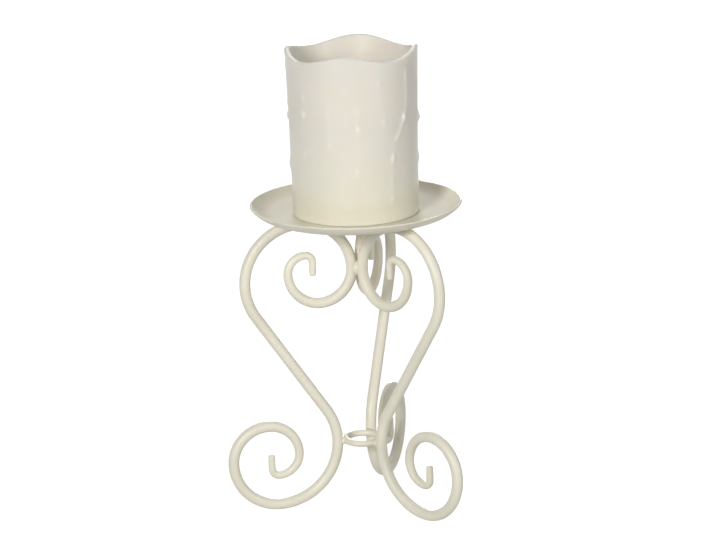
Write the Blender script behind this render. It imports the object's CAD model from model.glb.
"""Looks of the scroll-leg candle holder: enamel, wax, the light unit's plastics, studio and camera."""

import math

import bpy
import numpy as np
from mathutils import Matrix, Vector


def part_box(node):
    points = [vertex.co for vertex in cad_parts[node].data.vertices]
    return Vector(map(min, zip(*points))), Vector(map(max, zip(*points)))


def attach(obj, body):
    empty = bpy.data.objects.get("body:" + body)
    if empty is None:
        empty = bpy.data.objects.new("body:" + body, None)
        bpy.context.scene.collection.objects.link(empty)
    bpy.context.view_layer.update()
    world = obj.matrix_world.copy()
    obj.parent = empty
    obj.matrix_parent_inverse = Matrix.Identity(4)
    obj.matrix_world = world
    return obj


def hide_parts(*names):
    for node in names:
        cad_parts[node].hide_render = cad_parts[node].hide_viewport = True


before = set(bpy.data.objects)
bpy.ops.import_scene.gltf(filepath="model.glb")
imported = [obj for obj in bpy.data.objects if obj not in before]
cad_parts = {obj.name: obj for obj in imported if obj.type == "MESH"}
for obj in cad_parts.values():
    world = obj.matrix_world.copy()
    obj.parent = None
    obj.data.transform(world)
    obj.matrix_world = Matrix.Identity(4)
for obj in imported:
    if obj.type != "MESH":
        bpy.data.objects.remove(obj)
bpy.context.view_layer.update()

MM = 0.001

# Nearly all values of a noise texture lie in this range.
NOISE_RANGE = (0.3, 0.7)

# Mesh attribute that tells the wax's material how far a drip stands out, in millimetres.
RELIEF = "relief"


class Shader:
    """A node material under construction, on object coordinates in metres."""

    def __init__(self, name):
        self.material = bpy.data.materials.new(name)
        self.material.use_nodes = True
        self.tree = self.material.node_tree
        self.surface = self.tree.nodes["Principled BSDF"]
        self.place = self.node("ShaderNodeTexCoord").outputs["Object"]

    def node(self, kind, **settings):
        node = self.tree.nodes.new(kind)
        for key, value in settings.items():
            setattr(node, key, value)
        return node

    def feed(self, target, value):
        """Links an output to a socket, or sets the socket to a plain value."""
        if isinstance(value, bpy.types.NodeSocket):
            self.tree.links.new(value, target)
        else:
            target.default_value = value

    def set(self, **values):
        """Sets sockets of the surface by name, with _ for a space."""
        for name, value in values.items():
            self.feed(self.surface.inputs[name.replace("_", " ")], value)

    def stretched(self, factors):
        """Object coordinates scaled along each axis, for grain that runs one way."""
        mapping = self.node("ShaderNodeMapping")
        mapping.inputs["Scale"].default_value = factors
        self.feed(mapping.inputs["Vector"], self.place)
        return mapping.outputs["Vector"]

    def noise(self, scale, detail=2.0, place=None):
        """A noise texture with so many features per metre."""
        texture = self.node("ShaderNodeTexNoise")
        self.feed(texture.inputs["Vector"], place or self.place)
        texture.inputs["Scale"].default_value = scale
        texture.inputs["Detail"].default_value = detail
        return texture.outputs["Fac"]

    def height(self, low, high):
        """0 at the lower height and 1 at the upper one."""
        split = self.node("ShaderNodeSeparateXYZ")
        self.feed(split.inputs["Vector"], self.place)
        return self.between(split.outputs["Z"], low, high, 0.0, 1.0)

    def between(self, value, from_low, from_high, to_low, to_high):
        """Maps one range to another and stops at its ends."""
        mapped = self.node("ShaderNodeMapRange")
        for name, number in (("Value", value), ("From Min", from_low), ("From Max", from_high),
                             ("To Min", to_low), ("To Max", to_high)):
            self.feed(mapped.inputs[name], number)
        return mapped.outputs["Result"]

    def vary(self, noise, low, high):
        """A number that a noise moves between two limits."""
        return self.between(noise, *NOISE_RANGE, low, high)

    def ramp(self, factor, stops):
        """A colour that runs through (position, linear red green blue) stops."""
        ramp = self.node("ShaderNodeValToRGB")
        elements = ramp.color_ramp.elements
        while len(elements) < len(stops):
            elements.new(0.5)
        for element, (position, colour) in zip(elements, stops):
            element.position = position
            element.color = (*colour, 1.0)
        self.feed(ramp.inputs["Fac"], factor)
        return ramp.outputs["Color"]

    def tint(self, noise, *tones):
        """A colour that a noise moves between two tones."""
        return self.ramp(noise, tuple(zip(NOISE_RANGE, tones)))

    def mix(self, factor, first, second):
        """One colour at factor 0 and another at factor 1."""
        mix = self.node("ShaderNodeMix", data_type="RGBA")
        self.feed(mix.inputs["Factor"], factor)
        for name, colour in (("A", first), ("B", second)):
            socket = next(s for s in mix.inputs if s.name == name and s.type == "RGBA")
            self.feed(socket, colour if isinstance(colour, bpy.types.NodeSocket) else (*colour, 1.0))
        return next(s for s in mix.outputs if s.type == "RGBA")

    def bump(self, height, depth, strength=1.0, under=None):
        """A relief of a real depth in millimetres, on top of another one."""
        bump = self.node("ShaderNodeBump")
        bump.inputs["Strength"].default_value = strength
        bump.inputs["Distance"].default_value = depth * MM
        self.feed(bump.inputs["Height"], height)
        if under is not None:
            self.feed(bump.inputs["Normal"], under)
        return bump.outputs["Normal"]


# Materials
def cream_paint():
    """Sprayed cream enamel: slow drifts of tone, fine orange peel and a soft gloss."""
    paint = Shader("cream_paint")
    drift = paint.noise(scale=38.0, detail=3.0)
    deep, pale, fleck = (0.804, 0.766, 0.632), (0.860, 0.822, 0.692), (0.705, 0.660, 0.525)
    flecks = paint.between(paint.noise(scale=900.0, detail=1.0), 0.62, 0.72, 0.0, 0.35)
    peel = paint.noise(scale=1100.0, detail=2.0)
    runs = paint.bump(paint.noise(scale=160.0, detail=2.0), depth=0.25, strength=0.6)
    paint.set(
        Base_Color=paint.mix(flecks, paint.tint(drift, deep, pale), fleck),
        Roughness=paint.vary(drift, 0.40, 0.50),
        Normal=paint.bump(peel, depth=0.03, under=runs),
        Specular_IOR_Level=0.50,
    )
    return paint.material


def ivory_wax():
    """Cast wax: whiter at the top and on the drips, yellower at the foot, cloudy and softly rippled."""
    wax = Shader("ivory_wax")
    low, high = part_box("wax_shell")
    cloud_tone, drip_tone = (0.800, 0.740, 0.615), (0.935, 0.905, 0.835)
    tone = wax.ramp(wax.height(low.z, high.z), (
        (0.00, (0.858, 0.808, 0.660)),
        (0.22, (0.866, 0.820, 0.708)),
        (0.60, (0.832, 0.790, 0.714)),
        (1.00, (0.795, 0.772, 0.718)),
    ))
    cloud = wax.noise(scale=55.0, detail=4.0)
    clouded = wax.mix(wax.between(cloud, 0.35, 0.75, 0.0, 0.30), tone, cloud_tone)
    relief = wax.node("ShaderNodeAttribute", attribute_name=RELIEF).outputs["Fac"]
    drips = wax.between(relief, 0.1, 0.9, 0.0, 0.6)
    pores = wax.noise(scale=1500.0, detail=2.0)
    ripple = wax.bump(wax.noise(scale=75.0, detail=1.0), depth=0.20, strength=0.5)
    wax.set(
        Base_Color=wax.mix(drips, clouded, drip_tone),
        Roughness=wax.vary(cloud, 0.30, 0.36),
        Normal=wax.bump(pores, depth=0.03, under=ripple),
        Subsurface_Weight=0.70,
        Subsurface_Radius=(1.0, 0.75, 0.45),
        Subsurface_Scale=6.0 * MM,
        Specular_IOR_Level=0.40,
    )
    return wax.material


def unit_plastic():
    """Moulded off-white plastic with a spark-eroded grain."""
    plastic = Shader("unit_plastic")
    grain = plastic.noise(scale=2600.0, detail=3.0)
    plastic.set(
        Base_Color=plastic.tint(plastic.noise(scale=70.0), (0.72, 0.69, 0.61), (0.77, 0.74, 0.67)),
        Roughness=plastic.vary(grain, 0.42, 0.58),
        Normal=plastic.bump(grain, depth=0.04),
    )
    return plastic.material


def contact_metal():
    """Nickel plate, brushed along the strip."""
    metal = Shader("contact_metal")
    brushing = metal.noise(scale=900.0, detail=3.0, place=metal.stretched((1.0, 9.0, 9.0)))
    metal.set(
        Base_Color=metal.tint(brushing, (0.50, 0.49, 0.46), (0.66, 0.65, 0.61)),
        Roughness=metal.vary(brushing, 0.22, 0.42),
        Normal=metal.bump(brushing, depth=0.03),
        Metallic=1.0,
    )
    return metal.material


def cell_jacket():
    """Plain dark shrink jacket with a lighter band round both ends of the cell."""
    jacket = Shader("cell_jacket")
    low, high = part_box("battery_left")
    dark, pale, worn = (0.030, 0.032, 0.038), (0.42, 0.30, 0.14), (0.16, 0.15, 0.14)
    rise = jacket.height(low.z, high.z)
    bands = jacket.ramp(rise, ((0.10, pale), (0.115, dark), (0.70, dark), (0.715, pale)))
    scuffs = jacket.noise(scale=320.0, detail=4.0)
    jacket.set(
        Base_Color=jacket.mix(jacket.between(scuffs, 0.6, 0.8, 0.0, 0.3), bands, worn),
        Roughness=jacket.vary(scuffs, 0.24, 0.40),
        Normal=jacket.bump(scuffs, depth=0.03),
        Coat_Weight=0.3,
    )
    return jacket.material


def board_laminate():
    """Green solder resist over copper tracks."""
    board = Shader("board_laminate")
    tracks = board.node("ShaderNodeTexBrick", offset=0.5, squash=1.0)
    for name, value in (
        ("Vector", board.place),
        ("Scale", 220.0),
        ("Mortar Size", 0.06),
        ("Color1", (0.020, 0.150, 0.050, 1.0)),
        ("Color2", (0.024, 0.170, 0.060, 1.0)),
        ("Mortar", (0.050, 0.250, 0.090, 1.0)),
    ):
        board.feed(tracks.inputs[name], value)
    weave = board.noise(scale=1400.0)
    board.set(
        Base_Color=tracks.outputs["Color"],
        Roughness=board.vary(weave, 0.30, 0.44),
        Normal=board.bump(tracks.outputs["Fac"], depth=0.04, under=board.bump(weave, depth=0.02)),
    )
    return board.material


def lamp_resin():
    """Milky warm resin of the lamp's dome."""
    resin = Shader("lamp_resin")
    haze = resin.noise(scale=700.0, detail=3.0)
    resin.set(
        Base_Color=resin.tint(haze, (0.80, 0.62, 0.30), (0.88, 0.74, 0.45)),
        Roughness=resin.vary(haze, 0.18, 0.30),
        Normal=resin.bump(haze, depth=0.02),
        Transmission_Weight=0.35,
        IOR=1.5,
    )
    return resin.material


def switch_plastic():
    """Black moulded plastic with a fine grain."""
    plastic = Shader("switch_plastic")
    grain = plastic.noise(scale=2400.0, detail=3.0)
    plastic.set(
        Base_Color=plastic.tint(grain, (0.010, 0.010, 0.011), (0.022, 0.022, 0.024)),
        Roughness=plastic.vary(grain, 0.34, 0.50),
        Normal=plastic.bump(grain, depth=0.04),
    )
    return plastic.material


# Which CAD nodes wear which finish. The wax shell is replaced by a carved mesh further down.
NODES_BY_FINISH = {
    cream_paint: ("dish", "leg_rear", "leg_left", "leg_right", "waist_ring",
                  "dish_welds", "ring_welds", "scroll_weld"),
    unit_plastic: ("light_housing", "base_plate", "battery_cap", "switch_body"),
    contact_metal: ("bridge_contact", "contact_plate", "contact_spring", "board_screws"),
    cell_jacket: ("battery_left", "battery_right"),
    board_laminate: ("circuit_board",),
    lamp_resin: ("led",),
    switch_plastic: ("switch_slider",),
}
for finish, nodes in NODES_BY_FINISH.items():
    material = finish()
    for node in nodes:
        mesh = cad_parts[node].data
        mesh.materials.clear()
        mesh.materials.append(material)


# Wax shell. Lengths in millimetres above the candle's base and round its axis.
CANDLE_FOOT_RADIUS = 37.5
CANDLE_FOOT_ROUND = 1.0
CANDLE_BORE_RADIUS = 33.0
RIM_WALL = 3.6
RIM_LIP = 1.0
RIM_WAVE_DEPTH = 4.3
RIM_LOBES = 4
RIM_CREST_AZIMUTH = 11.0
WELL_FLOOR = 66.0
WELL_FLOOR_THICKNESS = 4.0
WELL_CORNER = 9.0
LED_HOLE_RADIUS = 4.0
LED_HOLE_CHAMFER = 0.5

# How finely the wax mesh is cut: columns round the axis, and rows along the parts of its profile.
COLUMNS = 400
SIDE_ROWS = 150
ARC_STEPS = 9
WELL_ROWS = 14

# Wax runs as a shape and (azimuth, height) points, and beads as (azimuth, height, width, relief).
# The visible half follows the photograph, and the back carries the same runs turned half round.
CLEAR_RUN = {"width": 1.7, "relief": 0.45}
FAINT_RUN = {"width": 3.4, "relief": 0.18}
WAX_RUNS = (
    (CLEAR_RUN, ((-19.5, 88), (-18.4, 74), (-19.6, 64), (-22.6, 61), (-26.5, 54), (-32.2, 49))),
    (FAINT_RUN, ((-32.2, 49), (-36.2, 38), (-37.2, 14))),
    (FAINT_RUN, ((-120.8, 86), (-120.4, 74), (-121.8, 65), (-121.4, 53), (-122.0, 41))),
    (FAINT_RUN, ((-95.2, 74), (-95.7, 60), (-95.6, 47))),
    (FAINT_RUN, ((-68.9, 72), (-68.8, 57), (-69.6, 33))),
    (FAINT_RUN, ((-49.4, 84), (-47.0, 72), (-44.6, 60), (-41.0, 55))),
    (CLEAR_RUN, ((5.6, 80), (5.6, 58))),
    (FAINT_RUN, ((-149.4, 82), (-149.4, 69), (-156.7, 31))),
)
WAX_BEADS = (
    (-22.6, 61.3, 1.4, 1.00), (-36.2, 37.8, 1.4, 0.85),
    (-37.3, 24.8, 1.3, 0.40), (-37.2, 14.8, 1.3, 0.40),
    (-120.4, 74.1, 1.3, 0.50), (-121.8, 65.0, 1.4, 1.05), (-122.0, 41.2, 1.4, 0.60),
    (-95.7, 66.6, 1.2, 0.25), (-95.6, 47.5, 1.3, 0.42),
    (-68.9, 66.9, 1.2, 0.28), (-68.8, 56.8, 1.3, 0.78),
    (-69.8, 32.4, 1.3, 0.50), (-63.5, 23.1, 1.3, 0.38),
    (-44.6, 60.4, 1.3, 0.48), (-49.4, 83.9, 1.2, 0.30),
    (5.6, 57.7, 2.0, 1.50), (-149.4, 69.1, 2.2, 0.80), (-156.7, 31.3, 2.2, 0.80),
)
BEAD_STRETCH = 1.7
BACK_TURN = 180.0


def turn_between(azimuths, azimuth):
    """Signed angles from one azimuth to others, in radians and never more than half a turn."""
    return np.radians((azimuths - azimuth + 180.0) % 360.0 - 180.0)


def run_relief(azimuths, heights, run, width, relief):
    """A low rounded ridge along a polyline on the candle's side."""
    nearest = np.full(azimuths.shape, np.inf)
    for (start_azimuth, start), (end_azimuth, end) in zip(run, run[1:]):
        across = turn_between(azimuths, start_azimuth) * CANDLE_FOOT_RADIUS
        along = heights - start
        span = math.radians(end_azimuth - start_azimuth) * CANDLE_FOOT_RADIUS
        drop = end - start
        share = np.clip((across * span + along * drop) / (span * span + drop * drop), 0.0, 1.0)
        distance = np.hypot(across - share * span, along - share * drop)
        nearest = np.minimum(nearest, distance)
    return relief * np.exp(-((nearest / width) ** 2))


def bead_relief(azimuths, heights, azimuth, height, width, relief):
    """A drop that is longer than it is wide."""
    across = turn_between(azimuths, azimuth) * CANDLE_FOOT_RADIUS / width
    along = (heights - height) / (width * BEAD_STRETCH)
    return relief * np.exp(-(across**2) - along**2)


def wax_relief(azimuths, heights):
    """How far the wax stands proud of the plain side."""
    runs = np.zeros(azimuths.shape)
    beads = np.zeros(azimuths.shape)
    for turn in (0.0, BACK_TURN):
        for shape, run in WAX_RUNS:
            moved = [(azimuth + turn, height) for azimuth, height in run]
            runs = np.maximum(runs, run_relief(azimuths, heights, moved, **shape))
        for azimuth, *bead in WAX_BEADS:
            beads = np.maximum(beads, bead_relief(azimuths, heights, azimuth + turn, *bead))
    return runs + beads


def quarter(centre, radius, start):
    """Points of a quarter arc after its first one, from a starting angle in quarters."""
    angles = [(start + (i + 1) / ARC_STEPS) * math.pi / 2 for i in range(ARC_STEPS)]
    return [(centre[0] + radius * math.cos(a), centre[1] + radius * math.sin(a)) for a in angles]


def smooth_row(radius, level):
    """Radii, heights and no relief, from one number each or from one for every column."""
    flat = np.zeros(COLUMNS)
    return flat + radius, flat + level, flat


def foot_rows():
    """The ring the candle stands on and its rounded edge."""
    inset = CANDLE_FOOT_RADIUS - CANDLE_FOOT_ROUND
    edge = quarter((inset, CANDLE_FOOT_ROUND), CANDLE_FOOT_ROUND, -1)
    return [smooth_row(*point) for point in [(CANDLE_BORE_RADIUS, 0.0), (inset, 0.0), *edge]]


def side_rows(azimuths, shoulder, height, top_radius):
    """The flared side with its runs and beads, up to the shoulder of the rim."""
    flare = top_radius - CANDLE_FOOT_RADIUS
    rows = []
    for i in range(1, SIDE_ROWS + 1):
        levels = CANDLE_FOOT_ROUND + (shoulder - CANDLE_FOOT_ROUND) * i / SIDE_ROWS
        relief = wax_relief(azimuths, levels)
        rows.append((CANDLE_FOOT_RADIUS + flare * (levels / height) ** 2 + relief, levels, relief))
    return rows


def rim_rows(outer, shoulder):
    """The rounded lip, from the side over to the well."""
    half_wall = RIM_WALL / 2
    middle = outer - half_wall
    over = quarter((0.0, 0.0), 1.0, 0) + quarter((0.0, 0.0), 1.0, 1)
    return [smooth_row(middle + half_wall * across, shoulder + RIM_LIP * up) for across, up in over]


def well_rows(inner, shoulder):
    """The well's wall, its rounded corner, its floor, and the lamp's hole down to the bore."""
    corner_top = WELL_FLOOR + WELL_CORNER
    rows = []
    for i in range(1, WELL_ROWS + 1):
        share = i / WELL_ROWS
        radii = inner + (CANDLE_BORE_RADIUS - inner) * share
        rows.append(smooth_row(radii, shoulder + (corner_top - shoulder) * share))
    floor_radius = CANDLE_BORE_RADIUS - WELL_CORNER
    corner = quarter((floor_radius, corner_top), WELL_CORNER, -1)[::-1][1:]
    underside = WELL_FLOOR - WELL_FLOOR_THICKNESS
    floor = [
        (floor_radius, WELL_FLOOR),
        (LED_HOLE_RADIUS + LED_HOLE_CHAMFER, WELL_FLOOR),
        (LED_HOLE_RADIUS, WELL_FLOOR - LED_HOLE_CHAMFER),
        (LED_HOLE_RADIUS, underside),
        (CANDLE_BORE_RADIUS, underside),
    ]
    return rows + [smooth_row(*point) for point in corner + floor]


def wax_grid():
    """Azimuths of the columns, rows of (radii, heights, relief) and the height of the base."""
    low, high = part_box("wax_shell")
    height = (high.z - low.z) / MM
    azimuths = np.arange(COLUMNS) * 360.0 / COLUMNS
    wave = 1.0 - np.cos(np.radians(RIM_LOBES * (azimuths - RIM_CREST_AZIMUTH)))
    shoulder = height - RIM_WAVE_DEPTH / 2 * wave - RIM_LIP
    rows = foot_rows() + side_rows(azimuths, shoulder, height, high.x / MM)
    rows += rim_rows(rows[-1][0], shoulder)
    rows += well_rows(rows[-1][0], shoulder)
    return azimuths, rows, low.z


def make_wax():
    """The carved candle body, closed from the bore's upper edge down to its lower one."""
    azimuths, rows, base = wax_grid()
    angles = np.radians(azimuths)
    points = []
    for radii, levels, _ in rows:
        points += zip(radii * np.cos(angles) * MM, radii * np.sin(angles) * MM, base + levels * MM)
    faces = []
    for row in range(len(rows)):
        after = (row + 1) % len(rows)
        for column in range(COLUMNS):
            beside = (column + 1) % COLUMNS
            faces.append((row * COLUMNS + column, row * COLUMNS + beside,
                          after * COLUMNS + beside, after * COLUMNS + column))
    mesh = bpy.data.meshes.new("wax_candle")
    mesh.from_pydata(points, [], faces)
    mesh.update()
    mesh.shade_smooth()
    raised = mesh.attributes.new(RELIEF, "FLOAT", "POINT")
    raised.data.foreach_set("value", np.concatenate([relief for _, _, relief in rows]))
    mesh.materials.append(ivory_wax())
    wax = bpy.data.objects.new("wax_candle", mesh)
    bpy.context.scene.collection.objects.link(wax)
    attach(wax, "candle")
    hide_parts("wax_shell")


make_wax()


# Camera, fitted to the photograph. It aims at a point beside and above the axis.
CAMERA_AZIMUTH = 17.33
CAMERA_ELEVATION = 15.29
CAMERA_ROLL = -1.85
CAMERA_DISTANCE = 1.8
CAMERA_AIM = (-0.05 * MM, 145.37 * MM)
CAMERA_LENS = 151.5

# Studio: a pale floor that reads as white to the camera, four soft lamps and an even sky.
WHITE = (1.0, 1.0, 1.0, 1.0)
FLOOR_SIZE = 12.0
FLOOR_TONE = (0.62, 0.62, 0.61)
FLOOR_GLOW = 0.80
SKY_STRENGTH = 0.16

# Lamps round the object: azimuth from the camera, elevation, distance, size and power.
LAMPS = {
    "left": (-23.0, 20.0, 2.2, 0.5, 28.0),
    "right": (50.0, 16.0, 2.2, 0.5, 11.0),
    "back": (180.0, 40.0, 2.2, 1.0, 8.0),
    "rear": (180.0, 0.0, 2.2, 0.25, 15.0),
}


def around(azimuth, elevation, distance):
    """A point round the object; azimuth 0 is where the camera stands."""
    a, e = math.radians(CAMERA_AZIMUTH + azimuth), math.radians(elevation)
    return Vector((math.sin(a) * math.cos(e), -math.cos(a) * math.cos(e), math.sin(e))) * distance


def seen_directly(tree):
    """1 for rays from the camera, mirrors and glass, and 0 for rays that light the object."""
    path = tree.nodes.new("ShaderNodeLightPath")
    value = path.outputs["Is Camera Ray"]
    for other in ("Is Glossy Ray", "Is Transmission Ray"):
        either = tree.nodes.new("ShaderNodeMath")
        either.operation = "MAXIMUM"
        tree.links.new(value, either.inputs[0])
        tree.links.new(path.outputs[other], either.inputs[1])
        value = either.outputs["Value"]
    return value


def make_floor():
    """A matt floor that takes the object's shadow and glows where it is looked at."""
    mesh = bpy.data.meshes.new("floor")
    half = FLOOR_SIZE / 2
    corners = [(-half, -half, 0), (half, -half, 0), (half, half, 0), (-half, half, 0)]
    mesh.from_pydata(corners, [], [(0, 1, 2, 3)])
    floor = bpy.data.objects.new("floor", mesh)
    bpy.context.scene.collection.objects.link(floor)
    material = bpy.data.materials.new("floor")
    material.use_nodes = True
    tree = material.node_tree
    surface = tree.nodes["Principled BSDF"]
    surface.inputs["Base Color"].default_value = (*FLOOR_TONE, 1.0)
    surface.inputs["Roughness"].default_value = 1.0
    surface.inputs["Specular IOR Level"].default_value = 0.0
    surface.inputs["Emission Color"].default_value = WHITE
    glow = tree.nodes.new("ShaderNodeMath")
    glow.operation = "MULTIPLY"
    glow.inputs[1].default_value = FLOOR_GLOW
    tree.links.new(seen_directly(tree), glow.inputs[0])
    tree.links.new(glow.outputs["Value"], surface.inputs["Emission Strength"])
    mesh.materials.append(material)


def make_sky():
    """A weak even light that is white where it is looked at."""
    world = bpy.data.worlds.new("studio")
    bpy.context.scene.world = world
    world.use_nodes = True
    tree = world.node_tree
    strength = tree.nodes.new("ShaderNodeMapRange")
    strength.inputs["To Min"].default_value = SKY_STRENGTH
    strength.inputs["To Max"].default_value = 1.0
    tree.links.new(seen_directly(tree), strength.inputs["Value"])
    background = tree.nodes["Background"]
    background.inputs["Color"].default_value = WHITE
    tree.links.new(strength.outputs["Result"], background.inputs["Strength"])


def make_lamp(name, azimuth, elevation, distance, size, power):
    """A round lamp that looks at the middle of the object."""
    light = bpy.data.lights.new(name, "AREA")
    light.shape = "DISK"
    light.size = size
    light.energy = power
    lamp = bpy.data.objects.new(name, light)
    target = Vector((0, 0, CAMERA_AIM[1]))
    lamp.location = target + around(azimuth, elevation, distance)
    lamp.rotation_euler = (target - lamp.location).to_track_quat("-Z", "Y").to_euler()
    bpy.context.scene.collection.objects.link(lamp)


def make_camera():
    """The camera of the photograph, with its slight roll."""
    turn = Matrix.Rotation(math.radians(CAMERA_AZIMUTH), 3, "Z")
    elevation, roll = math.radians(CAMERA_ELEVATION), math.radians(CAMERA_ROLL)
    back = turn @ Vector((0, -math.cos(elevation), math.sin(elevation)))
    level_right = turn @ Vector((1, 0, 0))
    level_up = turn @ Vector((0, math.sin(elevation), math.cos(elevation)))
    right = level_right * math.cos(roll) + level_up * math.sin(roll)
    up = level_up * math.cos(roll) - level_right * math.sin(roll)
    aim = turn @ Vector((CAMERA_AIM[0], 0, CAMERA_AIM[1]))
    lens = bpy.data.cameras.new("camera")
    lens.sensor_fit = "HORIZONTAL"
    lens.lens = CAMERA_LENS
    camera = bpy.data.objects.new("camera", lens)
    pose = Matrix((right, up, back)).transposed().to_4x4()
    pose.translation = aim + back * CAMERA_DISTANCE
    camera.matrix_world = pose
    bpy.context.scene.collection.objects.link(camera)
    bpy.context.scene.camera = camera


make_floor()
make_sky()
for lamp_name, settings in LAMPS.items():
    make_lamp(lamp_name, *settings)
make_camera()
bpy.context.scene.view_settings.view_transform = "Standard"
